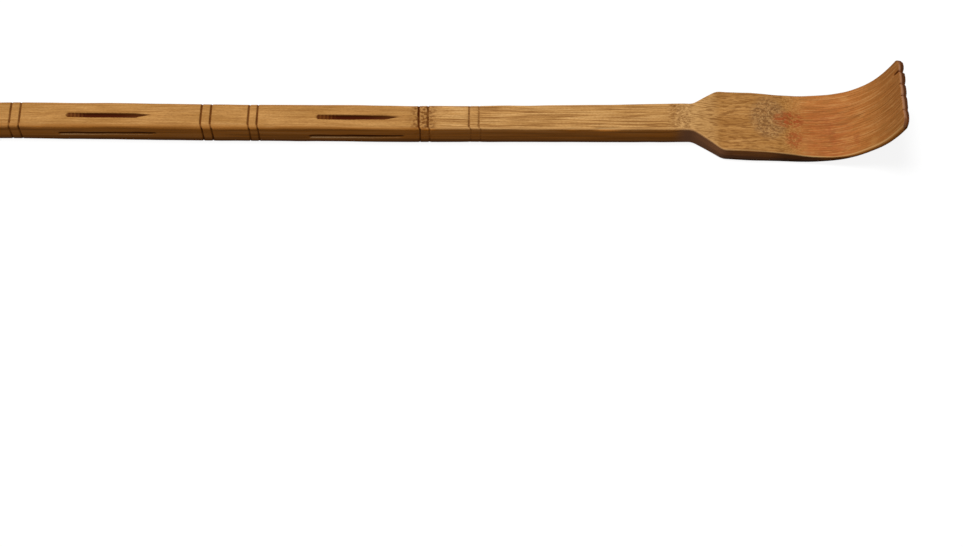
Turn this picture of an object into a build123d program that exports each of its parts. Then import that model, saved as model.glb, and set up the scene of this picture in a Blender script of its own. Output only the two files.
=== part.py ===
from build123d import *
import math
import os

# Bamboo back scratcher, carved from one slat.  Millimetres.
# +X runs from the grip to the toothed head, +Y to the left of it, +Z up.
# The origin is on the flat underside, below the middle of the overall length.
# Stations along the stick are distances from the grip's end.

# ---- overall ----
overall_length = 431.5
blank_width = 30.0
blank_height = 30.0

# ---- shaft, an almost square stick ----
shaft_width = 8.6
shaft_height = 8.1
neck_width = 9.8
widening_station = 300.0
widening_radius = 300.0
neck_station = 367.5
arris_radius = 0.7

# ---- grip end ----
grip_end_radius = 3.4
hang_hole_radius = 2.0
hang_hole_station = 10.0

# ---- head, seen from above ----
paddle_station = 378.0
paddle_width = 22.2
flare_station = 395.0
flare_middle = (412.0, 11.8)
head_end_width = 24.6
shoulder_outer_radius = 2.5
shoulder_inner_radius = 6.0

# ---- head, seen from the side: (station, height) points on the two faces ----
ramp_station = 364.0
paddle_thickness = 5.5
crest_station = 388.0
hollow_point = (406.5, 3.9)
blade_inner_points = ((414.0, 5.2), (422.5, 10.5))
blade_outer_points = ((413.0, 2.4), (424.5, 10.1))
bend_station = 399.0
tip_angle = 74.0
tip_thickness = 2.0
tip_height = 24.5

# ---- teeth ----
notch_centres = (-6.95, -1.85, 2.45, 7.05)
notch_width = 1.5
notch_depth = 1.4
corner_radius = 2.8

# ---- decoration: pairs of ring grooves, and gouges between them ----
ring_pairs = (67.0, 82.0, 139.5, 155.1, 215.6, 230.5, 284.3, 300.2)
ring_spacing = 3.0
ring_width = 0.6
ring_depth = 0.5
gouge_stations = (110.8, 184.4, 264.3)
top_gouge_length = 27.0
top_gouge_width = 1.7
top_gouge_depth = 1.3
side_gouge_length = 30.5
side_gouge_width = 0.9
side_gouge_depth = 0.8
side_gouge_height = 4.0


def along(station):
    """X of a station."""
    return station - overall_length / 2


def side_point(point):
    """A (station, height) point in the sketch plane of the side outline."""
    return (along(point[0]), point[1])


def direction(degrees):
    """Unit direction at an angle above the X axis."""
    angle = math.radians(degrees)
    return (math.cos(angle), math.sin(angle))


def is_arris(edge):
    """True for the edges where the side walls meet the faces above and below."""
    middle = edge.position_at(0.5)
    tangent = edge.tangent_at(0.5)
    upright = abs(tangent.Z) > 0.99 and middle.X < along(bend_station)
    crosswise = abs(tangent.Y) > 0.99
    return not upright and not crosswise and abs(middle.Y) > 0.01


# The end face of the blade is square to it: two corners, and a plane whose
# X runs across the teeth and whose Y runs up the blade.
up_the_blade = direction(tip_angle)
through_the_blade = direction(tip_angle - 90)
tip_inner = (along(overall_length) - tip_thickness * through_the_blade[0], tip_height)
tip_outer = (along(overall_length), tip_height + tip_thickness * through_the_blade[1])
tip_plane = Plane(
    origin=(tip_inner[0], 0, tip_inner[1]),
    x_dir=(0, 1, 0),
    z_dir=(through_the_blade[0], 0, through_the_blade[1]),
)

with BuildPart() as bamboo_body:
    # Side outline: straight underside, blade curling up to the tip, and the
    # upper face, which ramps down from the shaft to the thinner paddle.
    with BuildSketch(Plane.XZ) as side_outline:
        with BuildLine():
            Line((along(0), 0), (along(bend_station), 0))
            Spline(
                (along(bend_station), 0),
                *[side_point(point) for point in blade_outer_points],
                tip_outer,
                tangents=[(1, 0), up_the_blade],
            )
            Line(tip_outer, tip_inner)
            Spline(
                (along(crest_station), paddle_thickness),
                side_point(hollow_point),
                *[side_point(point) for point in blade_inner_points],
                tip_inner,
                tangents=[(1, 0), up_the_blade],
            )
            Spline(
                (along(ramp_station), shaft_height),
                (along(paddle_station), paddle_thickness + 0.1),
                (along(crest_station), paddle_thickness),
                tangents=[(1, 0), (1, 0)],
            )
            Line((along(ramp_station), shaft_height), (along(0), shaft_height))
            Line((along(0), shaft_height), (along(0), 0))
        make_face()
    extrude(amount=blank_width / 2, both=True)

    # Plan outline: the slat is cut down to the shaft, and the paddle flares.
    with BuildSketch(Plane.XY) as plan_outline:
        with BuildLine():
            shaft_and_shoulder = FilletPolyline(
                (along(0), 0),
                (along(0), shaft_width / 2),
                (along(widening_station), shaft_width / 2),
                (along(neck_station), neck_width / 2),
                (along(paddle_station), paddle_width / 2),
                (along(flare_station), paddle_width / 2),
                radius=[grip_end_radius, widening_radius, shoulder_inner_radius, shoulder_outer_radius],
            )
            Spline(
                shaft_and_shoulder @ 1,
                side_point(flare_middle),
                (along(overall_length), head_end_width / 2),
                tangents=[(1, 0), (1, 0)],
            )
            Line((along(overall_length), head_end_width / 2), (along(overall_length), 0))
            mirror(about=Plane.XZ)
        make_face()
    extrude(amount=blank_height, mode=Mode.INTERSECT)

    # Worn arrises, all round the upper face and the underside.
    arrises = bamboo_body.edges().filter_by(is_arris)
    fillet(arrises, radius=arris_radius)

    # Teeth: V notches across the end of the blade, whose corners are rounded.
    with BuildSketch(tip_plane) as notches:
        with Locations(*[(centre, 0) for centre in notch_centres]):
            Polygon((-notch_width / 2, 0), (0, -notch_depth), (notch_width / 2, 0), align=None)
    extrude(amount=2 * tip_thickness, both=True, mode=Mode.SUBTRACT)
    with BuildSketch(tip_plane) as corners:
        for side in (-1, 1):
            with Locations((side * head_end_width / 2, 0)):
                Rectangle(2 * corner_radius, 2 * corner_radius)
            with Locations((side * (head_end_width / 2 - corner_radius), -corner_radius)):
                Circle(corner_radius, mode=Mode.SUBTRACT)
    extrude(amount=2 * tip_thickness, both=True, mode=Mode.SUBTRACT)

    # Ring grooves, sawn round all four faces of the shaft.
    ring_root = (shaft_width - 2 * ring_depth, shaft_height - 2 * ring_depth)
    for pair in ring_pairs:
        for side in (-1, 1):
            with BuildSketch(Plane.YZ.offset(along(pair + side * ring_spacing / 2))) as ring:
                with Locations((0, shaft_height / 2)):
                    Rectangle(blank_width, blank_width)
                    Rectangle(*ring_root, mode=Mode.SUBTRACT)
            extrude(amount=ring_width / 2, both=True, mode=Mode.SUBTRACT)

    # Gouged slots between the ring pairs, on the upper face and on both sides.
    with BuildSketch(Plane.XY.offset(shaft_height)) as top_gouges:
        with Locations(*[(along(station), 0) for station in gouge_stations]):
            SlotOverall(top_gouge_length, top_gouge_width)
    extrude(amount=-top_gouge_depth, mode=Mode.SUBTRACT)
    for side in (-1, 1):
        with BuildSketch(Plane.XZ.offset(side * (shaft_width / 2 - side_gouge_depth))) as side_gouges:
            with Locations(*[(along(station), side_gouge_height) for station in gouge_stations]):
                SlotOverall(side_gouge_length, side_gouge_width)
        extrude(amount=side * shaft_width, mode=Mode.SUBTRACT)

    # Hanging hole through the grip.
    with Locations((along(hang_hole_station), 0, shaft_height)):
        Hole(radius=hang_hole_radius)

bamboo_body.part.label = "bamboo_body"
os.makedirs("parts", exist_ok=True)
export_step(bamboo_body.part, "parts/bamboo_body.step")
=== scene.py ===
import math

import bpy
import numpy as np
from mathutils import Matrix, Vector


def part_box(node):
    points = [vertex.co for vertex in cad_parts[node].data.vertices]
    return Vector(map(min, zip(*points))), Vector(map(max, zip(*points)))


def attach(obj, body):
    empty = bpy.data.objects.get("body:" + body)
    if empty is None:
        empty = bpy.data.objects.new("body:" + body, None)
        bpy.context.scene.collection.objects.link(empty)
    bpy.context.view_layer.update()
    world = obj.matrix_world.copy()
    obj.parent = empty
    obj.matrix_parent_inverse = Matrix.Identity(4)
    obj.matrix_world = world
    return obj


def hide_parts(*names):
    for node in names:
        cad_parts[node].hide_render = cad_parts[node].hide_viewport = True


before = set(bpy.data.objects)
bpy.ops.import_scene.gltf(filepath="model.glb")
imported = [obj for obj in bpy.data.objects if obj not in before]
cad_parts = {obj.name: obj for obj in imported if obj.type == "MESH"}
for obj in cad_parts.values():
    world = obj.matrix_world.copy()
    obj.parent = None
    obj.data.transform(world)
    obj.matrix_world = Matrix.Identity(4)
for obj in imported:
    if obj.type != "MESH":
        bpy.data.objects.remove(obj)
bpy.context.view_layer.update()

# A bamboo back scratcher, carved from one slat and drawn as one detailed mesh.
# Lengths are in millimetres until the mesh is written in metres.  A station is a
# distance along the underside from the grip's end; v is the distance across the
# stick and q the height above the underside, both square to the bamboo's fibres.
MM = 0.001
stick_low, stick_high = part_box("bamboo_body")
grip_end = stick_low.x / MM
floor_height = stick_low.z / MM
overall_length = (stick_high.x - stick_low.x) / MM

# ---- side outline: straight underside, then the curl of the blade ----
bend_station = 399.0
blade_middle_points = ((413.3, 2.35), (425.0, 10.05))
tip_angle = 74.0
tip_height = 23.95
tip_reach = 0.4

# ---- thickness at stations, square to the underside ----
thickness_points = (
    (0, 8.0), (150, 8.0), (190, 8.25), (250, 8.3), (300, 8.1), (340, 8.0), (363, 8.0), (367.5, 7.8),
    (372.5, 6.7), (377.5, 5.45), (380.5, 5.5), (387, 5.95), (392.5, 5.35), (399, 4.45), (403, 3.7),
    (407, 3.05), (413, 2.15), (419, 1.65), (427, 1.7), (443, 2.0),
)
paddle_thickness = 5.5
blade_thickness = 1.85

# ---- half widths at stations, near side (-Y) and far side (+Y) ----
shaft_half_widths = ((0, 4.4), (160, 4.48), (215, 4.4), (300, 4.42), (320, 4.57), (341, 4.72))
head_half_widths = ((395, 11.0), (403.6, 11.36), (410, 11.7), (416.5, 11.9), (426, 11.95), (433, 12.2))
near_shoulder = ((368.7, 4.95), (378.0, 11.2))
far_shoulder = ((368.7, 4.95), (376.7, 11.0))

# ---- how far the middle of the stick wanders off its axis, at stations ----
bow_points = (
    (0, 0.0), (150, -0.12), (181, -0.25), (214, -0.5), (278, -0.5), (303, -0.33), (322, -0.04),
    (341, 0.2), (366, 0.7), (375, 0.9), (380, 0.56), (386, 0.0), (395, -0.12), (408, -0.08), (443, -0.6),
)

# ---- edges and faces ----
shaft_arris = 0.75
near_rounding = 0.65
near_blade_rounding = 0.55
head_arris = 0.5
blade_arris = 0.42
lower_arris = 0.35
end_rounding = 0.45
grip_corner_radius = 3.4
shaft_crown = 0.05
head_crown = 0.18
undercut = 0.12
facet_lean = 0.35
arris_points = (
    (0, shaft_arris), (362, shaft_arris), (380, head_arris), (400, head_arris), (413, blade_arris),
)
crown_points = ((0, shaft_crown), (362, shaft_crown), (380, head_crown), (430, head_crown), (443, 0.2))

# ---- hanging hole ----
hole_station = 10.0
hole_radius = 2.0
hole_rim = 0.55
hole_block = 3.3

# ---- ring grooves: station and spacing of the pair, lean across the top face,
# ---- offset of the near face's cuts, depth on the top face, how dark the first and
# ---- the second one are, how strong the near face's cuts are
ring_pairs = (
    (67.0, 3.0, -0.2, 0.2, 0.5, 0.42, 0.42, 0.9), (82.0, 3.1, 0.15, -0.3, 0.48, 0.4, 0.42, 0.85),
    (139.5, 2.9, -0.1, 0.3, 0.5, 0.42, 0.42, 0.9), (154.85, 3.1, -0.3, -0.3, 0.5, 0.42, 0.44, 0.9),
    (215.6, 3.05, -0.1, 0.35, 0.52, 0.48, 0.46, 1.0), (230.5, 2.8, -0.1, 0.3, 0.52, 0.46, 0.5, 0.9),
    (284.3, 2.95, -0.25, 0.45, 0.45, 0.75, 0.42, 0.6), (300.2, 3.1, -0.05, 0.6, 0.3, 0.36, 0.32, 0.6),
)
ring_half_width = 0.44
ring_side_lean = -0.3

# ---- gouges: station, length and offset across at the start and at the end of the top
# ---- slot, then station, length and height at the start of the side slots
gouges = (
    (110.8, 27.2, -0.1, 0.1, 110.8, 31.0, 3.6), (185.1, 27.8, -0.38, -0.35, 184.3, 32.4, 3.65),
    (264.2, 27.2, -0.32, -0.3, 263.5, 30.8, 3.2),
)
top_gouge_width = 1.6
top_gouge_depth = 1.15
chatter_pitch = 1.15
side_gouge_width = 1.2
side_gouge_depth = 0.65
side_gouge_rise = 0.45

# ---- teeth: place across the blade and depth of each notch ----
notches = ((-6.5, 0.35), (-1.4, 0.45), (2.9, 0.5), (7.5, 1.0))
notch_half_width = 1.1
deep_notch = 0.9
deep_notch_cut = 3.8
shallow_notch_cut = 0.5
tooth_reach = (
    (-12, 0.1), (-9, -0.1), (-4, 0.05), (1, -0.05), (3, -0.05),
    (5.2, -0.5), (7.5, -0.1), (9.5, -0.25), (12, 0),
)
near_corner_radius = 2.6
far_corner_radius = 2.3

# ---- small chips out of the near upper arris: station, reach along, depth ----
chips = (
    (98.0, 2.0, 0.2), (162.0, 1.8, 0.2), (236.0, 2.0, 0.18), (286.5, 1.6, 0.22),
    (331.0, 1.2, 0.2), (340.6, 2.2, 0.38), (344.0, 1.3, 0.3), (387.5, 1.8, 0.2),
)

# ---- node scars, where a joint of the culm crossed the slat: station, reach ----
shaft_scars = ((284.3, 3.8), (365.0, 3.2))
paddle_scar = (392.6, 6.0)
paddle_scar_across = (1.9, 7.8)
shaft_scar_pits = 16
paddle_scar_pits = 120

# ---- dark bruises at the node scars: station, place across, reach along, darkness ----
bruises = (
    (362.5, 0.0, 0.5, 0.25), (362.7, 0.9, 0.5, 0.3), (363.0, 3.5, 0.6, 0.35), (364.0, -1.4, 0.6, 0.3),
    (364.1, 2.1, 0.5, 0.3), (364.2, 4.0, 0.5, 0.3), (365.8, -1.4, 0.5, 0.2), (367.1, -1.4, 0.5, 0.25),
    (281.6, 3.3, 0.6, 0.35), (282.3, 1.2, 0.5, 0.25), (286.8, 2.6, 0.5, 0.25), (287.3, -1.0, 0.4, 0.2),
)
bruise_width = 0.45

# ---- scorched patches at the bend: station, place and reach across, reach along, strength
red_patches = (
    (399.3, 1.8, 2.9, 5.0, 1.0), (400.6, -5.4, 3.4, 3.0, 0.75), (413.1, -3.3, 5.2, 1.5, 0.6),
    (421.3, -6.0, 2.6, 1.1, 0.5), (406.5, -1.5, 2.2, 2.2, 0.35),
)

# ---- colours, linear ----
HONEY_LIGHT = (0.5, 0.25, 0.073)
HONEY_DARK = (0.39, 0.185, 0.046)
PALE = (0.66, 0.39, 0.15)
STREAK = (0.3, 0.125, 0.028)
BUNDLE = (0.16, 0.055, 0.008)
STEAMED = (0.44, 0.143, 0.032)
RED = (0.31, 0.067, 0.016)
SCAR = (0.28, 0.145, 0.06)
SCAR_DARK = (0.16, 0.068, 0.02)
# The side walls' tone, darker and redder than the top: partly the cut wood's own tone, partly painted shade.
SIDE = (0.47, 0.139, 0.006)
# The culm's darker outer layer low on the side walls, deepened as painted shade.
SKIN_AND_SHADE = (0.11, 0.03, 0.004)
# Near-black painted shade, low on the head's walls and on the walls at the bend.
WALL_SHADE = (0.03, 0.01, 0.002)
SHOULDER_SIDE = (0.25, 0.108, 0.052)
# Painted shade on the head's side walls.
HEAD_WALL_SHADE = (0.125, 0.04, 0.012)
# Pale lip under the side slots: fresh wood with a painted highlight.
LIP_FRESH_AND_HIGHLIGHT = (0.72, 0.45, 0.22)
# Dark tones of the cuts and marks; at the notches they are painted shade.
MARK_AND_SHADE_DARK = (0.105, 0.024, 0.0008)
MARK_AND_SHADE_DARKEST = (0.045, 0.004, 0.0002)
# The blade's cut end: a darker outer layer, denser fibres deepened as painted shade, the grain, and a pale
# inner edge, worn and painted as a highlight.
END_DENSE_AND_SHADE = (0.045, 0.014, 0.006)
END_GRAIN = (0.15, 0.053, 0.022)
END_WORN_AND_HIGHLIGHT = (0.31, 0.15, 0.08)

# ---- mesh: columns round the stick ----
top_columns = 33
side_columns = 15
corner_columns = 3
shaft_spacing = 1.05
fine_spacing = 0.46
chatter_spacing = 0.32
tip_spacing = 0.17
tip_length = 4.5
tip_half_width = 12.3
columns_between_notches = (-11.3, -10.6, -9.7, -8.5, -4.6, -3.3, 0.1, 1.2, 5.2, 9.4, 10.6)

# ---- camera, held by hand above the shaft: angles in degrees ----
camera_place = (104.1, -292.35, 456.3)
camera_heading = 3.87
camera_tilt = 27.87
camera_roll = -2.87
camera_lens = 63.55

# ---- light and floor, in metres ----
softbox_place = (-0.22, 0.13, 1.6)
softbox_target = (0.02, 0, 0)
softbox_size = 0.6
softbox_power = 27
surround_strength = 0.24
floor_reach = 6.0
floor_tone = 0.13
floor_glow = 0.88


def smooth_step(x, start, end):
    """0 before start, 1 after end, and a smooth rise between."""
    share = np.clip((x - start) / (end - start), 0, 1)
    return share * share * (3 - 2 * share)


def soft_line(x, points, reach):
    """Straight runs through the points, with every corner rounded over reach to each side."""
    xs, ys = zip(*points)
    offsets = np.linspace(-reach, reach, 21)
    return np.interp(np.asarray(x, float)[..., None] + offsets, xs, ys).mean(-1)


def wander(x, step, seed):
    """A smooth random line between about -1 and 1, which turns about every step."""
    knots = np.random.default_rng(seed).uniform(-1, 1, 2 + int((np.max(x) + 50) / step) + 2)
    place = (np.asarray(x, float) + 25) / step
    index = np.clip(place.astype(int), 0, len(knots) - 2)
    share = smooth_step(place - index, 0, 1)
    return knots[index] * (1 - share) + knots[index + 1] * share


def spline_through(points, start_tangent, end_tangent, count):
    """Points along a smooth curve through the given ones, with set end directions."""
    points = np.array(points, float)
    gaps = np.linalg.norm(np.diff(points, axis=0), axis=1)
    matrix = np.eye(len(points))
    right = np.zeros_like(points)
    right[0] = start_tangent
    right[-1] = end_tangent
    for i in range(1, len(points) - 1):
        before, after = gaps[i - 1], gaps[i]
        matrix[i, i - 1:i + 2] = after, 2 * (before + after), before
        right[i] = 3 * (
            after * (points[i] - points[i - 1]) / before
            + before * (points[i + 1] - points[i]) / after
        )
    tangents = np.linalg.solve(matrix, right)
    curve = []
    for i, gap in enumerate(gaps):
        t = np.linspace(0, 1, count, endpoint=False)[:, None]
        curve.append(
            (2 * t**3 - 3 * t**2 + 1) * points[i]
            + (t**3 - 2 * t**2 + t) * gap * tangents[i]
            + (3 * t**2 - 2 * t**3) * points[i + 1]
            + (t**3 - t**2) * gap * tangents[i + 1]
        )
    return np.vstack([*curve, points[-1:]])


# The underside as one curve: the straight part needs only its two ends.
end_direction = (math.cos(math.radians(tip_angle)), math.sin(math.radians(tip_angle)))
blade_curve = spline_through(
    ((bend_station, 0), *blade_middle_points, (overall_length + tip_reach, tip_height)),
    (1, 0), end_direction, 80
)
blade_arc = bend_station + np.concatenate(
    ([0], np.cumsum(np.linalg.norm(np.diff(blade_curve, axis=0), axis=1)))
)
blade_slope = np.unwrap(np.arctan2(*np.gradient(blade_curve, axis=0).T[::-1]))
blade_slope[0] = 0
tip_station = blade_arc[-1]


def underside(station):
    """Distance from the grip's end, height and slope angle of the underside at a station."""
    x = np.where(station < bend_station, station, np.interp(station, blade_arc, blade_curve[:, 0]))
    z = np.interp(station, blade_arc, blade_curve[:, 1])
    slope = np.interp(station, blade_arc, blade_slope)
    return x, z, slope


def half_width(station, shoulder):
    """Half width on one side, whose shoulder is given."""
    outline = (*shaft_half_widths, *shoulder, *head_half_widths)
    return soft_line(station, outline, 1.2)


def grip_narrowing(station):
    """How much narrower each side gets towards the rounded grip end."""
    inward = np.clip(grip_corner_radius - station, 0, grip_corner_radius)
    return grip_corner_radius - np.sqrt(grip_corner_radius**2 - inward**2)


def end_inset(station):
    """How far a section shrinks as the edges of the two ends are rounded over."""
    past = np.maximum(end_rounding - station, station - (tip_station - end_rounding))
    past = np.clip(past, 0, end_rounding)
    return end_rounding - np.sqrt(end_rounding**2 - past**2)


def ring_grooves():
    """(station, lean, near offset, depth, darkness, near strength) of every single groove."""
    grooves = []
    for station, spacing, lean, near_offset, depth, first_dark, second_dark, near_strength in ring_pairs:
        for side, darkness in ((-1, first_dark), (1, second_dark)):
            place = station + side * spacing / 2
            grooves.append((place, lean, near_offset, depth, darkness, near_strength))
    return grooves


def stations_along():
    """The stations of the mesh's sections, closer together where the carving is finer."""
    chatter_places = [(s - 0.5 * length - 1, s - 0.5 * length + 9) for s, length, *rest in gouges]
    fine_places = [(s - 16, s + 16) for s, *rest in gouges]
    fine_places += [(s - reach - 1, s + reach + 1) for s, reach in shaft_scars]
    fine_places.append((shaft_scars[-1][0], tip_station))
    stations = [grip_corner_radius]
    while stations[-1] < tip_station - end_rounding - tip_spacing:
        here = stations[-1]
        spacing = shaft_spacing
        if any(start < here < end for start, end in fine_places):
            spacing = fine_spacing
        if any(start < here < end for start, end in chatter_places):
            spacing = chatter_spacing
        if here > tip_station - tip_length:
            spacing = tip_spacing
        stations.append(here + spacing)
    stations = np.array(stations)
    hole_edge = hole_station + hole_block * np.array((-1, 1))
    stations = stations[(stations < hole_edge[0] - 0.3) | (stations > hole_edge[1] + 0.3)]
    cuts = np.array([groove[0] for groove in ring_grooves()])
    stations = stations[np.abs(stations[:, None] - cuts).min(1) > 0.75]
    profile = np.array((-0.55, -0.4, -0.31, -0.22, -0.12, 0, 0.12, 0.22, 0.31, 0.4, 0.55))
    around_cuts = (cuts[:, None] + profile).ravel()
    around_hole = np.linspace(*hole_edge, 16)
    turn = np.radians(np.arange(0, 90, 9))
    grip_corner = end_rounding + (grip_corner_radius - end_rounding) * (1 - np.cos(turn))
    ends = end_rounding * (1 - np.cos(np.radians((0, 20, 40, 60, 80))))
    parts = (ends, grip_corner, stations, around_cuts, around_hole, tip_station - ends)
    return np.unique(np.round(np.concatenate(parts), 4))


# ---- columns: where each one lies on a face, from -1 to 1, and which way it faces ----
corner_turns = np.degrees(np.linspace(0, np.pi / 2, corner_columns + 2))[1:-1]
half_loop = top_columns + side_columns + 2 * corner_columns
columns_round = 2 * half_loop


def around(top, far):
    """A loop of values from those of the top (near to far) and far side (top to bottom)."""
    corner = np.ones(corner_columns)
    return np.concatenate((
        top, corner, far * 0 + 1, corner, top[::-1], -corner, far * 0 - 1, -corner,
    )), np.concatenate((
        top * 0 + 1, corner, far, -corner, top * 0 - 1, -corner, far[::-1], corner,
    ))


def clustered(count, middle_count, start, end):
    """Places from -1 to 1, with middle_count of them from start to end."""
    outer = (count - middle_count) // 2 + 1
    return np.concatenate((
        np.linspace(-1, start, outer)[:-1],
        np.linspace(start, end, middle_count),
        np.linspace(end, 1, outer)[1:],
    ))


def tip_columns(flat):
    """Places across the tip: five on each notch, and the rest between them."""
    on_notches = [place + step for place, depth in notches for step in (-0.9, -0.35, 0, 0.35, 0.9)]
    return np.array(sorted([-flat, flat, *on_notches, *columns_between_notches])) / flat


normal_turn = np.concatenate([
    np.concatenate((
        np.full(top_columns, 90.0) - half,
        90 - corner_turns - half,
        np.zeros(side_columns) - half,
        -corner_turns - half,
    ))
    for half in (0, 180)
])
normal_v = np.cos(np.radians(normal_turn))
normal_q = np.sin(np.radians(normal_turn))
on_top = normal_q > 0.99
on_under = normal_q < -0.99
on_near = normal_v < -0.99
on_far = normal_v > 0.99
on_corner = ~(on_top | on_under | on_near | on_far)
on_near_arris = on_corner & (normal_v < 0) & (normal_q > 0)
on_far_arris = on_corner & (normal_v > 0) & (normal_q > 0)

# A column's share of a rounded arris is 1 in the middle of the round and 0 on the faces.
corner_share = np.sin(2 * np.arccos(np.abs(normal_v)))
near_arris_share = np.where(on_near_arris, corner_share, 0)
facing_up = np.clip(normal_q + 0.35, 0, 1)

# Places across and up for evenly spread columns, and closer together where slots are cut.
across_even, up_even = around(np.linspace(-1, 1, top_columns), np.linspace(1, -1, side_columns))
across_shaft, up_shaft = around(
    clustered(top_columns, 17, -0.31, 0.31), clustered(side_columns, 11, -0.33, 0.46)[::-1],
)
across_tip = around(tip_columns(tip_half_width - blade_arris), np.linspace(1, -1, side_columns))[0]


def groove_offset(stations):
    """How far each vertex moves along the stick, so that sections follow the sawn grooves."""
    grooves = ring_grooves()
    chance = np.random.default_rng(11)
    centres = [groove[0] for groove in grooves]
    across = np.where(on_top, across_shaft, 0)
    rows = []
    for station, lean, near_offset, *strengths in grooves:
        far_offset, under_offset = chance.uniform(-0.35, 0.35, 2)
        row = on_top * lean * across / 2
        row = row + on_near * (near_offset + ring_side_lean * -up_shaft / 2)
        row = row + on_far * (far_offset + 0.1 * up_shaft)
        row = row + on_under * (under_offset + 0.15 * across_shaft)
        for start in np.flatnonzero(on_corner & ~np.roll(on_corner, 1)):
            before = row[start - 1]
            after = row[(start + corner_columns) % columns_round]
            row[start:start + corner_columns] = np.linspace(before, after, corner_columns + 2)[1:-1]
        rows.append(row)
    rows = np.array(rows)
    reach = smooth_step(stations, centres[0] - 20, centres[0] - 5)
    reach = reach * (1 - smooth_step(stations, centres[-1] + 5, centres[-1] + 20))
    columns = [np.interp(stations, centres, rows[:, j]) for j in range(columns_round)]
    return np.array(columns).T * reach[:, None]


def groove_depths(stations):
    """Depth and darkening of the ring grooves at each vertex: every face has its own saw cut."""
    depth = np.zeros((len(stations), columns_round))
    stain = np.zeros_like(depth)
    chance = np.random.default_rng(12)
    face_share = on_top * 1.0 + on_near * 0.8 + on_far * 0.85 + on_under * 0.9 + on_corner * 0.3
    for station, lean, near_offset, full_depth, darkness, near_strength in ring_grooves():
        away = np.abs(stations - station)
        profile = 1 - smooth_step(away, 0.1, ring_half_width)
        stain_profile = 1 - smooth_step(away, 0.08, ring_half_width + 0.05)
        uneven = 1 + 0.12 * wander(np.arange(columns_round), 5, chance.integers(1000))
        strength = np.where(on_near, near_strength, 1)
        depth += full_depth * profile[:, None] * (face_share * strength * uneven)
        stain_share = np.maximum(face_share, 0.85 * on_corner) * strength * uneven
        stain += darkness * stain_profile[:, None] * stain_share
    return depth, stain


def top_gouges(station, v):
    """Depth and darkening of the slots in the top face: blunt start, deep middle, pointed end."""
    depth = np.zeros_like(v)
    stain = np.zeros_like(v)
    width = top_gouge_width / 2
    for centre, length, start_offset, end_offset, *side_slot in gouges:
        half = length / 2
        x = station - centre
        axis = start_offset + (end_offset - start_offset) * (x + half) / (2 * half)
        taper = smooth_step(x, half - 6.5, half)
        far_edge = axis + width * (1 - 0.65 * taper)
        near_edge = axis - width * (1 - 1.35 * taper)
        blunt = np.sqrt(np.clip((x + half) / 0.5, 0, 1))
        middle = (far_edge + near_edge) / 2
        reach = np.maximum((far_edge - near_edge) / 2, 0.02) * np.maximum(blunt, 0.02)
        wall = 1 - smooth_step(np.abs(v - middle), reach - 0.14, reach + 0.1)
        floor = top_gouge_depth * (0.35 + 0.65 * smooth_step(x, -half, -half + 7))
        floor = floor * (1 - 0.65 * smooth_step(x, half - 6, half))
        chatter = 0.1 * np.sin(x * 2 * np.pi / chatter_pitch)
        chatter = chatter * (1 - smooth_step(x, -half + 5, -half + 8))
        rounded = 1 - 0.35 * np.clip(np.abs(v - middle) / np.maximum(reach, 0.05), 0, 1) ** 2
        wall = wall * ((x > -half) & (x < half))
        depth += wall * np.clip(floor * rounded + chatter, 0.1, None)
        slot_darkness = 0.62 + 0.4 * smooth_step(x, -half + 2, -half + 8)
        slot_darkness = slot_darkness - 0.33 * smooth_step(x, -half + 10, half - 1)
        stain += wall * (slot_darkness - 1.6 * chatter)
    return depth, stain


def side_gouges(station, q, seed):
    """Depth, darkening and pale lower lip of the thin slots along a side wall; the lip is fresh wood with a
    painted highlight.
    """
    depth = np.zeros_like(q)
    stain = np.zeros_like(q)
    lip = np.zeros_like(q)
    for *top_slot, centre, length, height in gouges:
        half = length / 2
        x = station - centre
        along_slot = np.clip((x + half) / (2 * half), 0, 1)
        above = q - height - side_gouge_rise * along_slot - 0.05 * wander(station, 6, seed)
        ends = smooth_step(x, -half, -half + 0.8) * (1 - smooth_step(x, half - 2.5, half))
        steep = 1 - smooth_step(above, side_gouge_width * 0.35, side_gouge_width * 0.65)
        sloping = np.clip(above / (side_gouge_width * 0.6) + 0.9, 0, 1)
        depth += side_gouge_depth * ends * steep * sloping
        stain += 0.82 * ends * steep * smooth_step(above, -0.45, -0.15)
        # The pale lower lip: fresh wood and a painted highlight.
        lip += ends * (1 - 0.35 * along_slot) * np.exp(-(((above + 0.66) / 0.27) ** 2))
    return depth, stain, lip


def dimples(station, v, places):
    """Sum of small round pits, each (station, v, radius, depth)."""
    depth = np.zeros_like(v)
    for pit_station, pit_v, radius, pit_depth in places:
        near = np.abs(station[:, 0] - pit_station) < 3 * radius
        if near.any():
            distance = (station[near] - pit_station) ** 2 + (v[near] - pit_v) ** 2
            depth[near] += pit_depth * np.exp(-distance / (radius * radius))
    return depth


def scar_pits():
    """Pits in the node scars of the top face."""
    chance = np.random.default_rng(21)
    places = []
    for station, reach in shaft_scars:
        for pit in range(shaft_scar_pits):
            places.append((
                station + chance.uniform(-reach, reach), chance.uniform(-4, 4.5),
                chance.uniform(0.25, 0.5), chance.uniform(0.06, 0.2),
            ))
    centre, reach = paddle_scar
    for pit in range(paddle_scar_pits):
        turn = chance.uniform(0, 2 * np.pi)
        out = np.sqrt(chance.uniform(0, 1))
        places.append((
            centre + reach * out * np.cos(turn),
            paddle_scar_across[0] + paddle_scar_across[1] * out * np.sin(turn),
            chance.uniform(0.45, 1.0), chance.uniform(-0.07, 0.1),
        ))
    return places


def tip_shift(v):
    """How far the end of the blade falls short of its full length across the teeth."""
    half = half_width(np.array(tip_station), near_shoulder)
    short = soft_line(v, tooth_reach, 0.4) + 0.06 * wander(v + half, 1.6, 31)
    for place, depth in notches:
        short = short + depth * np.clip(1 - np.abs(v - place) / notch_half_width, 0, 1) ** 1.3
    for side, radius in ((-1, near_corner_radius), (1, far_corner_radius)):
        past = np.clip(side * v - (half - radius), 0, radius)
        short = short + radius - np.sqrt(radius**2 - past**2)
    return short


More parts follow.
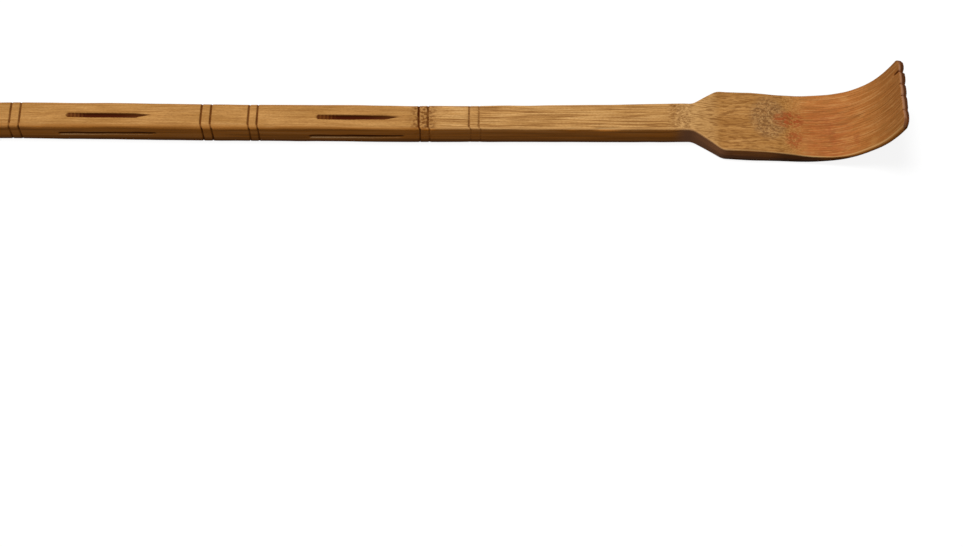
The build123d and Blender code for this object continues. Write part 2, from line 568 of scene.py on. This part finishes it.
def column_shares(s):
    """How far across and up its section each column lies, from 0 to 1, at stations s."""
    flat_share = smooth_step(s, 20, 45) * (1 - smooth_step(s, 345, 366))
    tip_share = smooth_step(s, 410, 434)
    across = across_even + (across_shaft - across_even) * flat_share + (across_tip - across_even) * tip_share
    up = up_even + (up_shaft - up_even) * flat_share
    return (across + 1) / 2, (up + 1) / 2


def upper_arris(s, share_across):
    """Radius of the upper arrises; the near one is worn rounder along the grip and the blade."""
    radius = soft_line(s, arris_points, 2) * (1 + 0.22 * wander(s, 9, 7)) - 0.75 * end_inset(s)
    extra_rounding = near_rounding * smooth_step(s, 4, 16) * (1 - smooth_step(s, 225, 290))
    extra_rounding = extra_rounding + near_blade_rounding * smooth_step(s, 413, 425)
    return radius + extra_rounding * (1 - share_across)


def plain_sections(s, bow, share_across, share_up):
    """Uncarved sections: v and q, the v of their middles, and v as a share of the half width."""
    inset = end_inset(s)
    narrower = grip_narrowing(s) + inset
    near = bow - half_width(s, near_shoulder) + narrower + 0.07 * wander(s, 14, 1) + 0.04 * wander(s, 5, 2)
    far = bow + half_width(s, far_shoulder) - narrower + 0.07 * wander(s, 16, 3) + 0.04 * wander(s, 6, 4)
    top = soft_line(s, thickness_points, 1.4) - inset + 0.05 * wander(s, 18, 5) + 0.025 * wander(s, 6, 6)
    top_arris = upper_arris(s, share_across)
    bottom_arris = lower_arris * (1 + 0.2 * wander(s, 13, 8)) - 0.5 * inset
    radius = bottom_arris + (top_arris - bottom_arris) * share_up
    v = (near + radius) * (1 - share_across) + (far - radius) * share_across + radius * normal_v
    q = (inset + bottom_arris) * (1 - share_up) + (top - top_arris) * share_up + radius * normal_q
    middle = (near + far) / 2
    half = (far - near) / 2
    from_middle = (v - middle) / half

    # The skin side is crowned, the top is slightly so, and the head's walls lean in below.
    crown = soft_line(s, crown_points, 3)
    q = q + crown * from_middle**2 * (1 - share_up) - 0.07 * from_middle**2 * share_up
    on_head = smooth_step(s, 366, 376) * (1 - smooth_step(s, 404, 420))
    lean = undercut * np.clip(1 - share_up / 0.52, 0, 1)
    lean = lean + facet_lean * np.clip(share_up / 0.48 - 1.08, 0, 1) * (1 - share_across)
    v = middle + (v - middle) * (1 - on_head * lean / half)
    return v, q, middle, from_middle


def carving(stations, along, v_from_middle, local_v, q):
    """Depth, darkening and pale lips of the rings, the gouges and the knife cuts at the notches; the dark
    lines at the notches are painted shade and the pale lips partly painted highlight.
    """
    carved, stain = groove_depths(stations)
    slot, slot_stain = top_gouges(along, local_v)
    carved = carved + on_top * slot
    stain = stain + on_top * slot_stain
    lip = np.zeros_like(q)
    for wall, seed in ((on_near, 41), (on_far, 42)):
        slot, slot_stain, slot_lip = side_gouges(along, q, seed)
        carved = carved + wall * slot
        stain = stain + wall * slot_stain
        lip = lip + wall * slot_lip
    from_tip = tip_station - along
    for place, depth in notches:
        length = deep_notch_cut if depth > deep_notch else shallow_notch_cut
        knife = 1 - smooth_step(from_tip, 0.7 * length, length)
        cut = knife * np.exp(-(((v_from_middle - place - 0.16 * from_tip) / 0.3) ** 2))
        carved = carved + on_top * 0.4 * depth * cut
        # The dark lines at the notches are painted shade.
        stain = stain + (0.5 + 0.45 * depth) * cut
    stain = stain + 0.5 * smooth_step(from_tip, 0.4, 0.1) * smooth_step(np.abs(v_from_middle), 8.5, 9.8)
    return carved, stain, lip


def wear(along, local_v):
    """Depth of the pits in the node scars, and of the chips out of the near upper arris."""
    worn = on_top * dimples(along, local_v, scar_pits())
    for station, reach, depth in chips:
        worn = worn + near_arris_share * depth * np.exp(-(((along - station) / reach) ** 4))
    return worn


def scar_shares(along, local_v):
    """How scarred each vertex is, and its squared distance from the paddle scar, 1 at the rim."""
    scar = np.zeros_like(local_v)
    for station, reach in shaft_scars:
        scar = np.maximum(scar, np.exp(-(((along - station) / reach) ** 4)))
    distance = ((along - paddle_scar[0]) / paddle_scar[1]) ** 2
    distance = distance + ((local_v - paddle_scar_across[0]) / paddle_scar_across[1]) ** 2
    paddle_share = (0.35 + 0.65 * facing_up) * (1 - smooth_step(distance, 0.45, 1.3))
    return np.maximum(scar, paddle_share), distance


def scorch_shares(along, local_v):
    """How red the bend was scorched at each vertex."""
    redness = 0.42 * smooth_step(along, 398, 408) * (1 - smooth_step(along, 412, 426))
    redness = redness * (1 - smooth_step(local_v, 2, 9))
    for station, place, reach_across, reach, strength in red_patches:
        distance = ((along - station) / reach) ** 2 + ((local_v - place) / reach_across) ** 2
        redness = np.maximum(redness, strength * (1 - smooth_step(distance, 0.4, 1.5)))
    return redness * facing_up


def with_marks(stain, s, along, local_v, from_middle, scar_distance):
    """The darkening of the cuts with bruises, the far arris and edge, and the scar's rim added."""
    stain = stain + on_far_arris * (0.1 + 0.17 * smooth_step(s, 368, 380))
    for station, place, reach, darkness in bruises:
        distance = ((along - station) / reach) ** 2 + ((local_v - place) / bruise_width) ** 2
        stain = stain + on_top * darkness * np.exp(-distance)
    rim = np.exp(-(((scar_distance - 1.0) / 0.16) ** 2)) * smooth_step(paddle_scar[0] - along, 0, 3)
    stain = stain + 0.12 * rim * on_top
    return stain + 0.12 * on_top * smooth_step(s, 400, 412) * smooth_step(from_middle, 0.9, 0.99)


def stick_surface(stations):
    """Vertex places of every section, and the values that the material reads."""
    s = stations[:, None]
    share_across, share_up = column_shares(s)
    bow = soft_line(s, bow_points, 3.0)
    v, q, middle, from_middle = plain_sections(s, bow, share_across, share_up)

    # Carving and wear go square into each face.
    along = s + groove_offset(stations)
    local_v = v - bow
    carved, stain, lip = carving(stations, along, v - middle, local_v, q)
    worn = wear(along, local_v)
    v = v - normal_v * (carved + worn)
    q = q - normal_q * (carved + worn)

    # The end of the blade is cut into teeth.
    short = tip_shift(v - middle)
    along = along - short * smooth_step(s, tip_station - 9, tip_station - 0.6)
    x, z, slope = underside(along)
    places = np.stack((grip_end + x - np.sin(slope) * q, v, floor_height + z + np.cos(slope) * q), -1)

    # The fibres thin out with the head, so their level is a share of its thickness there.
    level = q + (paddle_thickness * share_up - q) * smooth_step(s, 360, 370)
    level = level + (blade_thickness * share_up - level) * smooth_step(s, 396, 404)
    fibre_space = np.stack((along, v + 0 * s, level), -1)

    # Shares of darkening (painted shade at the notches), lighter edge (wear and painted highlight) and side
    # wall, then of end grain, scar and redness.
    scar, scar_distance = scar_shares(along, local_v)
    stain = with_marks(stain, s, along, local_v, from_middle, scar_distance)
    edge = on_corner * corner_share + 0 * s
    # Along the blade's near arris the lighter edge narrows to a line beside the top face: a painted
    # highlight.
    near_blade_highlight = smooth_step(s, 405, 415) * on_near_arris
    edge = edge + near_blade_highlight * (1.2 * np.abs(normal_q) ** 6 - edge)
    side_wall = np.clip(np.abs(normal_v), 0, 1) ** 2 + 0 * s
    end_grain = smooth_step(s, tip_station - 0.35, tip_station - 0.05)
    end_grain = end_grain + 1 - smooth_step(s, 0.1, 0.6)
    zones = np.stack((np.clip(stain, 0, 1), edge + 2.4 * lip + 1.5 * near_arris_share * worn, side_wall), -1)
    tints = np.stack((end_grain + 0 * v, scar, scorch_shares(along, local_v)), -1)
    return places, fibre_space, zones, tints


def block_edge(first_ring, last_ring, first_column, last_column):
    """Grid places round a block, anticlockwise seen from outside the top face."""
    loop = [(ring, first_column) for ring in range(first_ring, last_ring)]
    loop += [(last_ring, column) for column in range(first_column, last_column)]
    loop += [(ring, last_column) for ring in range(last_ring, first_ring, -1)]
    loop += [(first_ring, column) for column in range(last_column, first_column, -1)]
    return loop


def index_of(ring, column):
    """Number of the vertex at a ring and column of the grid."""
    return ring * columns_round + column % columns_round


class Surface:
    """Vertices, faces and vertex values of the mesh while it is put together."""

    def __init__(self, places, values):
        self.places = list(places.reshape(-1, 3))
        self.values = [list(value.reshape(-1, 3)) for value in values]
        self.faces = []

    def add(self, place, sources, shares):
        """A vertex whose values are mixed from those of other vertices."""
        self.places.append(place)
        for value in self.values:
            value.append(sum(value[source] * share for source, share in zip(sources, shares)))
        return len(self.places) - 1


def close_end(surface, ring, faces_forward):
    """A grid of quads over a section, with its corners at the middles of the four arrises."""
    corner = corner_columns // 2 + 1
    width = top_columns + 2 * corner - 1
    height = side_columns + 2 * corner - 1
    start = -corner
    top = [index_of(ring, start + k) for k in range(width + 1)]
    far = [index_of(ring, start + width + k) for k in range(height + 1)]
    bottom = [index_of(ring, start + width + height + width - k) for k in range(width + 1)]
    near = [index_of(ring, start - k) for k in range(height + 1)]
    grid = [top]
    for row in range(1, height):
        down = row / height
        line = [near[row]]
        for column in range(1, width):
            right = column / width
            sides = (top[column], bottom[column], near[row], far[row])
            sources = (*sides, top[0], top[-1], bottom[0], bottom[-1])
            shares = (
                1 - down, down, 1 - right, right,
                -(1 - down) * (1 - right), -(1 - down) * right, -down * (1 - right), -down * right,
            )
            place = sum(surface.places[source] * share for source, share in zip(sources, shares))
            line.append(surface.add(place, sources, shares))
        line.append(far[row])
        grid.append(line)
    grid.append(bottom)
    for row in range(height):
        for column in range(width):
            upper, lower = grid[row], grid[row + 1]
            face = [upper[column], upper[column + 1], lower[column + 1], lower[column]]
            surface.faces.append(face[::-1] if faces_forward else face)


def hole_profile(top_height, low_height):
    """(share, radius, height) of the hole's loops, down from the top face to the underside."""
    shares = (0.35, 0.7, 1.0)
    rim = [
        (hole_radius + hole_rim * (1 - math.sin(turn)), hole_rim * (1 - math.cos(turn)))
        for turn in np.radians((22.5, 45, 67.5, 90))
    ]
    top_wall = top_height - hole_rim
    low_wall = low_height + hole_rim
    heights = [top_wall + (low_wall - top_wall) * share for share in np.linspace(0, 1, 11)[1:-1]]
    steps = [(share, hole_radius + hole_rim, top_height) for share in shares]
    steps += [(1, radius, top_height - inside) for radius, inside in rim]
    steps += [(1, hole_radius, height) for height in heights]
    steps += [(1, radius, low_height + inside) for radius, inside in rim[::-1]]
    steps += [(share, hole_radius + hole_rim, low_height) for share in shares[::-1]]
    return steps


def bore_hole(surface, stations):
    """Joins the open blocks in the top and the underside by a round hole with worn rims."""
    rings = np.flatnonzero(np.abs(stations - hole_station) <= hole_block + 0.01)
    first, last = int(rings[0]), int(rings[-1])
    upper = [index_of(*place) for place in block_edge(first, last, 1, top_columns - 2)]
    lower = [
        index_of(ring, half_loop + top_columns - 1 - column)
        for ring, column in block_edge(first, last, 1, top_columns - 2)
    ]
    centre = np.array((grip_end + hole_station, 0.0))
    turns = [math.atan2(surface.places[i][1] - centre[1], surface.places[i][0] - centre[0]) for i in upper]
    top_height = np.mean([surface.places[i][2] for i in upper])
    low_height = np.mean([surface.places[i][2] for i in lower])
    loops = [upper]
    for share, radius, height in hole_profile(top_height, low_height):
        edge = upper if height > (top_height + low_height) / 2 else lower
        loop = []
        for corner, turn in zip(edge, turns):
            rim = np.array((centre[0] + radius * math.cos(turn), centre[1] + radius * math.sin(turn), height))
            place = surface.places[corner] * (1 - share) + rim * share
            depth = (top_height - height) / (top_height - low_height)
            sources = (upper[len(loop)], lower[len(loop)])
            loop.append(surface.add(place, sources, (1 - depth, depth)))
            surface.values[0][-1] = place - (grip_end, 0, floor_height)
        loops.append(loop)
    loops.append(lower)
    for outer, inner in zip(loops, loops[1:]):
        for k in range(len(outer)):
            after = (k + 1) % len(outer)
            surface.faces.append([outer[k], outer[after], inner[after], inner[k]])
    return first, last


def build_stick():
    """The whole stick as one closed mesh object."""
    stations = stations_along()
    places, fibre_space, zones, tints = stick_surface(stations)
    surface = Surface(places, (fibre_space, zones, tints))
    first, last = bore_hole(surface, stations)
    for ring in range(len(stations) - 1):
        for column in range(columns_round):
            top_block = 1 <= column < top_columns - 2
            under_block = half_loop + 1 <= column < half_loop + top_columns - 2
            if first <= ring < last and (top_block or under_block):
                continue
            surface.faces.append([
                index_of(ring, column), index_of(ring + 1, column),
                index_of(ring + 1, column + 1), index_of(ring, column + 1),
            ])
    close_end(surface, 0, False)
    close_end(surface, len(stations) - 1, True)

    # The block under the hole leaves its grid vertices unused, so they are dropped.
    faces = np.array(surface.faces)
    used = np.unique(faces)
    renumber = np.zeros(len(surface.places), int)
    renumber[used] = np.arange(len(used))
    mesh = bpy.data.meshes.new("bamboo_scratcher")
    mesh.from_pydata(np.array(surface.places)[used] * MM, [], renumber[faces].tolist())
    mesh.validate()
    mesh.shade_smooth()
    for name, value in zip(("fibre_space", "zones", "tints"), surface.values):
        attribute = mesh.attributes.new(name, "FLOAT_VECTOR", "POINT")
        attribute.data.foreach_set("vector", np.array(value)[used].ravel())
    stick = bpy.data.objects.new("bamboo_scratcher", mesh)
    bpy.context.scene.collection.objects.link(stick)
    return stick


class Shader:
    """A new material, and short names for node calls."""

    def __init__(self, name):
        self.material = bpy.data.materials.new(name)
        self.material.use_nodes = True
        self.tree = self.material.node_tree
        self.tree.nodes.clear()

    def node(self, kind, inputs=(), **settings):
        """A node with its settings, and each input linked to a socket or set to a value."""
        node = self.tree.nodes.new(kind)
        for name, value in settings.items():
            setattr(node, name, value)
        for name, value in dict(inputs).items():
            if isinstance(value, bpy.types.NodeSocket):
                self.tree.links.new(value, node.inputs[name])
            else:
                node.inputs[name].default_value = value
        return node

    def surface(self, inputs):
        """A principled surface, linked to the material's output."""
        surface = self.node("ShaderNodeBsdfPrincipled", inputs)
        self.node("ShaderNodeOutputMaterial", {"Surface": surface.outputs["BSDF"]})

    def attribute(self, name):
        """A vector that is stored at the vertices."""
        return self.node("ShaderNodeAttribute", attribute_name=name).outputs["Vector"]

    def parts(self, vector):
        return self.node("ShaderNodeSeparateXYZ", {"Vector": vector}).outputs

    def calc(self, operation, first, second):
        return self.node("ShaderNodeMath", {0: first, 1: second}, operation=operation).outputs["Value"]

    def times(self, first, second):
        return self.calc("MULTIPLY", first, second)

    def plus(self, first, second):
        return self.calc("ADD", first, second)

    def spread(self, value, low, high, to_low=0.0, to_high=1.0):
        """value stretched from low..high to to_low..to_high, smooth and clamped."""
        inputs = {"Value": value, "From Min": low, "From Max": high, "To Min": to_low, "To Max": to_high}
        return self.node("ShaderNodeMapRange", inputs, interpolation_type="SMOOTHSTEP").outputs["Result"]

    def between(self, value, start, end, soft):
        """1 from start to end, fading to 0 over soft outside them."""
        return self.times(self.spread(value, start - soft, start), self.spread(value, end, end + soft, 1, 0))

    def mix(self, share, first, second):
        """Mixes two colours, each a socket or an (r, g, b)."""
        first, second = ((*tone, 1) if isinstance(tone, tuple) else tone for tone in (first, second))
        inputs = {0: share, 6: first, 7: second}
        return self.node("ShaderNodeMix", inputs, data_type="RGBA", clamp_factor=True).outputs[2]


class Bamboo(Shader):
    """Oiled bamboo: dark fibres run along the stick, and the paddle cuts them into dashes."""

    def __init__(self):
        super().__init__("oiled_bamboo")
        self.fibre_space = self.attribute("fibre_space")
        self.station, self.across, self.level = self.parts(self.fibre_space)
        self.stain, self.edge, self.side_wall = self.parts(self.attribute("zones"))
        self.end_grain, self.scar, self.redness = self.parts(self.attribute("tints"))
        self.on_neck = self.between(self.station, 292, 366, 8)
        self.on_paddle = self.between(self.station, 374, 396, 6)
        self.on_blade = self.spread(self.station, 396, 408)
        self.clouds = self.noise((16, 4, 4), detail=3)
        self.streaks = self.noise((30, 0.8, 0.8), detail=3, shift=3)
        self.fibres = self.noise((12, 0.3, 0.3), detail=2, shift=7)
        self.dashes = self.noise((2.8, 0.4, 0.4), detail=1, shift=13)
        self.grain = self.noise((0.8, 0.2, 0.2), detail=1, shift=19)
        self.long_lines = self.contours((60, 1.3, 1.3), 0.03)
        specks = self.noise((1.1, 0.75, 0.75), detail=2, shift=17)
        self.scar_mottle = self.times(self.scar, self.spread(specks, 0.47, 0.56))
        self.colour = self.mix(self.spread(self.clouds, 0.3, 0.7), HONEY_DARK, HONEY_LIGHT)

    def noise(self, cell, detail, roughness=0.5, shift=0.0):
        """Noise whose cells are (along, across, up) millimetres long."""
        scale = tuple(1 / size for size in cell)
        inputs = {0: self.fibre_space, 1: scale, 2: (shift, shift, shift)}
        moved = self.node("ShaderNodeVectorMath", inputs, operation="MULTIPLY_ADD").outputs["Vector"]
        inputs = {"Vector": moved, "Scale": 1.0, "Detail": detail, "Roughness": roughness}
        return self.node("ShaderNodeTexNoise", inputs, noise_dimensions="3D").outputs["Fac"]

    def contours(self, cell, width):
        """Thin wandering lines, 1 on the line and 0 beside it."""
        away = self.calc("ABSOLUTE", self.calc("SUBTRACT", self.noise(cell, 1, 0.4, 23), 0.5), 0)
        return self.spread(away, 0, width, 1, 0)

    def tint(self, share, tone):
        """Mixes a share of a tone into the colour so far."""
        self.colour = self.mix(share, self.colour, tone)

    def paint_grain(self):
        """Changes of tone along the stick, then streaks, fibres, dashes and long lines."""
        times, plus, spread = self.times, self.plus, self.spread
        self.tint(spread(self.streaks, 0.4, 0.7, 0, 0.5), STREAK)
        self.tint(times(self.on_paddle, 0.3), STREAK)
        on_ramp = self.between(self.station, 366, 374, 4)
        self.tint(times(plus(on_ramp, times(self.on_neck, 0.45)), 0.4), PALE)
        self.tint(times(self.on_blade, 0.85), STEAMED)
        self.tint(spread(self.station, 416, 434, 0, 0.4), STREAK)
        contrast = plus(plus(times(self.on_neck, 0.45), times(self.on_blade, 0.08)), 0.2)
        self.tint(times(spread(self.fibres, 0.5, 0.62), contrast), BUNDLE)
        self.tint(times(spread(self.fibres, 0.37, 0.47, 1, 0), contrast), PALE)
        self.tint(times(spread(self.dashes, 0.5, 0.6), plus(times(self.on_paddle, 0.5), 0.1)), BUNDLE)
        line_strength = times(times(self.on_blade, spread(self.across, -7, 3, 0.25, 0.6)),
                              spread(self.clouds, 0.4, 0.6, 0.4, 1))
        self.tint(times(self.long_lines, plus(line_strength, 0.1)), BUNDLE)
        self.tint(spread(self.grain, 0.4, 0.65, 0, 0.25), BUNDLE)

    def paint_scars(self):
        """Patches on the blade, pale and mottled node scars, and red scorch at the bend."""
        times, spread = self.times, self.spread
        patches = self.noise((5, 2.2, 2.2), detail=3, shift=29)
        self.tint(times(self.on_blade, spread(patches, 0.52, 0.7, 0, 0.35)), STREAK)
        self.tint(times(self.on_blade, spread(patches, 0.3, 0.45, 0.25, 0)), HONEY_LIGHT)
        self.tint(times(self.scar, spread(self.station, 366, 380, 0.12, 0.4)), SCAR)
        shaft_mottle = spread(self.station, 300, 340, 0.95, 0.42)
        mottle_share = self.plus(shaft_mottle, spread(self.station, 368, 380, 0, 0.28))
        self.tint(times(self.scar_mottle, mottle_share), self.mix(self.on_paddle, BUNDLE, SCAR_DARK))
        squiggles = times(self.scar, self.contours((1.3, 1.0, 1.0), 0.045))
        self.tint(times(squiggles, spread(self.station, 366, 380, 0.2, 0.4)), PALE)
        scorch_streaks = self.noise((3.5, 0.9, 0.9), detail=2, shift=43)
        self.tint(times(self.redness, spread(scorch_streaks, 0.38, 0.58, 0.25, 0.95)), RED)
        self.tint(times(self.redness, spread(self.dashes, 0.5, 0.6, 0, 0.5)), BUNDLE)

    def paint_walls(self):
        """Darker, layered side walls, partly as painted shade: the culm's darker outer layer low on them,
        deepened with painted shade, and painted shade on the head's walls and at the bend.
        """
        times, spread = self.times, self.spread
        # Side walls tinted darker and redder: partly the cut wood's tone, partly painted shade.
        self.tint(times(self.side_wall, 0.8), SIDE)
        layers = self.noise((40, 3, 0.7), detail=2, shift=37)
        self.tint(times(self.side_wall, spread(layers, 0.5, 0.6, 0, 0.45)), BUNDLE)
        self.tint(times(self.side_wall, spread(layers, 0.34, 0.42, 0.15, 0)), PALE)
        # Darker towards the underside on the walls: the culm's denser outer layer, deepened as painted shade.
        skin_and_shade = times(self.side_wall, spread(self.level, 0.2, 3.4, 0.65, 0))
        self.tint(times(skin_and_shade, spread(self.station, 417, 427, 1.3, 0.45)), SKIN_AND_SHADE)
        wall = spread(self.side_wall, 0.15, 0.65)
        shoulder_wall = times(wall, self.between(self.station, 367, 378, 5))
        self.tint(times(shoulder_wall, 0.85), SHOULDER_SIDE)
        head_wall = times(wall, self.between(self.station, 381, 406, 5))
        # Painted shade: the head's walls are darkened, more towards the underside.
        self.tint(times(head_wall, spread(self.level, 0.6, 5.4, 0.9, 0.7)), HEAD_WALL_SHADE)
        # Painted shade along the lowest part of the head's walls.
        self.tint(times(head_wall, spread(self.level, 0, 2.4, 0.6, 0)), WALL_SHADE)
        wall_lines = times(head_wall, self.contours((26, 4, 0.9), 0.05))
        self.tint(times(wall_lines, 0.42), SHOULDER_SIDE)
        # Painted shade on the side walls at the bend.
        bend_wall_shade = times(self.side_wall, self.between(self.station, 398, 414, 7))
        self.tint(times(bend_wall_shade, 0.6), WALL_SHADE)

    def paint_cuts(self):
        """Arrises lighter from wear and a painted highlight, pale lips of fresh wood and painted highlight,
        darker cuts with painted shade at the notches, and the grain of the cut ends with painted shade and
        highlight.
        """
        times, plus, spread = self.times, self.plus, self.spread
        # Arrises tinted lighter: wear, with painted highlight, strongest along the blade's near arris.
        wear_and_highlight_share = plus(times(self.on_blade, 0.75), times(plus(self.on_paddle, self.on_neck), 0.4))
        self.tint(times(self.edge, plus(wear_and_highlight_share, 0.08)), PALE)
        # The slots' lower lips lighter: fresh wood and painted highlight.
        self.tint(spread(self.edge, 1, 2, 0, 0.6), LIP_FRESH_AND_HIGHLIGHT)
        # Cuts and marks darkened; at the notches this darkening is painted shade.
        self.tint(spread(self.stain, 0.04, 0.5, 0, 0.9), MARK_AND_SHADE_DARK)
        self.tint(spread(self.stain, 0.45, 0.95, 0, 0.9), MARK_AND_SHADE_DARKEST)
        # Across the blade's cut end: a darker outer layer of denser fibres with painted shade, then the
        # grain, then a pale inner edge of wear and painted highlight.
        bands = self.mix(spread(self.level, 0.95, 1.6), END_DENSE_AND_SHADE, END_GRAIN)
        bands = self.mix(spread(self.level, 1.66, 1.82), bands, END_WORN_AND_HIGHLIGHT)
        pores = self.mix(spread(self.grain, 0.45, 0.65), STREAK, BUNDLE)
        end_tone = self.mix(spread(self.station, 10, 400), pores, bands)
        self.tint(times(self.end_grain, spread(self.stain, 0.2, 0.6, 0.9, 0.2)), end_tone)

    def oiled_surface(self):
        """Satin, rougher in the cuts, with a fine relief of fibres and pits."""
        times, plus = self.times, self.plus
        roughness = plus(self.spread(self.streaks, 0.3, 0.7, 0.5, 0.62), times(self.stain, 0.3))
        dash_relief = times(self.dashes, plus(times(self.on_paddle, 0.6), 0.1))
        height = plus(times(self.fibres, 0.5), dash_relief)
        height = plus(height, times(times(self.long_lines, self.on_blade), -0.4))
        height = plus(height, times(self.scar_mottle, -0.4))
        bump = self.node("ShaderNodeBump", {"Strength": 0.5, "Distance": 0.00015, "Height": height})
        self.surface({
            "Base Color": self.colour, "Roughness": roughness, "Specular IOR Level": 0.05,
            "Normal": bump.outputs["Normal"],
        })


def bamboo_material():
    """The finished bamboo: grain first, then all that lies over it."""
    bamboo = Bamboo()
    bamboo.paint_grain()
    bamboo.paint_scars()
    bamboo.paint_walls()
    bamboo.paint_cuts()
    bamboo.oiled_surface()
    return bamboo.material


def floor_material():
    """Matt and pale, and glowing so much that only a faint shadow shows."""
    shader = Shader("pale_floor")
    shader.surface({
        "Base Color": (floor_tone, floor_tone, floor_tone, 1), "Roughness": 1.0, "Specular IOR Level": 0,
        "Emission Color": (1, 1, 1, 1), "Emission Strength": floor_glow,
    })
    return shader.material


def build_floor():
    """A plain pale floor, like a light table, that the stick lies on."""
    mesh = bpy.data.meshes.new("floor")
    corners = [(x * floor_reach, y * floor_reach, 0) for x, y in ((-1, -1), (1, -1), (1, 1), (-1, 1))]
    mesh.from_pydata(corners, [], [(0, 1, 2, 3)])
    mesh.materials.append(floor_material())
    floor = bpy.data.objects.new("floor", mesh)
    floor.location.z = stick_low.z
    floor.visible_diffuse = False
    floor.visible_glossy = False
    bpy.context.scene.collection.objects.link(floor)


def light_studio():
    """One softbox overhead, turned to the stick, and an even pale surround."""
    light = bpy.data.lights.new("key_softbox", "AREA")
    light.shape = "SQUARE"
    light.size = softbox_size
    light.energy = softbox_power
    softbox = bpy.data.objects.new("key_softbox", light)
    softbox.location = softbox_place
    aim = Vector(softbox_target) - Vector(softbox_place)
    softbox.rotation_euler = aim.to_track_quat("-Z", "Y").to_euler()
    bpy.context.scene.collection.objects.link(softbox)
    world = bpy.data.worlds.new("studio")
    world.use_nodes = True
    world.node_tree.nodes["Background"].inputs["Color"].default_value = (1, 1, 1, 1)
    world.node_tree.nodes["Background"].inputs["Strength"].default_value = surround_strength
    bpy.context.scene.world = world
    bpy.context.scene.view_settings.view_transform = "Standard"


def place_camera():
    """A hand-held view from above the shaft, looking down at the head."""
    camera_data = bpy.data.cameras.new("camera")
    camera_data.sensor_width = 36.0
    camera_data.lens = camera_lens
    camera_data.clip_start = 0.01
    camera = bpy.data.objects.new("camera", camera_data)
    turn = Matrix.Rotation(math.radians(camera_heading), 4, "Z")
    turn = turn @ Matrix.Rotation(math.radians(camera_tilt), 4, "X")
    turn = turn @ Matrix.Rotation(math.radians(camera_roll), 4, "Z")
    camera.matrix_world = Matrix.Translation(Vector(camera_place) * MM) @ turn
    bpy.context.scene.collection.objects.link(camera)
    bpy.context.scene.camera = camera


place_camera()
stick = build_stick()
stick.data.materials.append(bamboo_material())
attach(stick, "root")
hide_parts("bamboo_body")
build_floor()
light_studio()

bpy.context.view_layer.update()
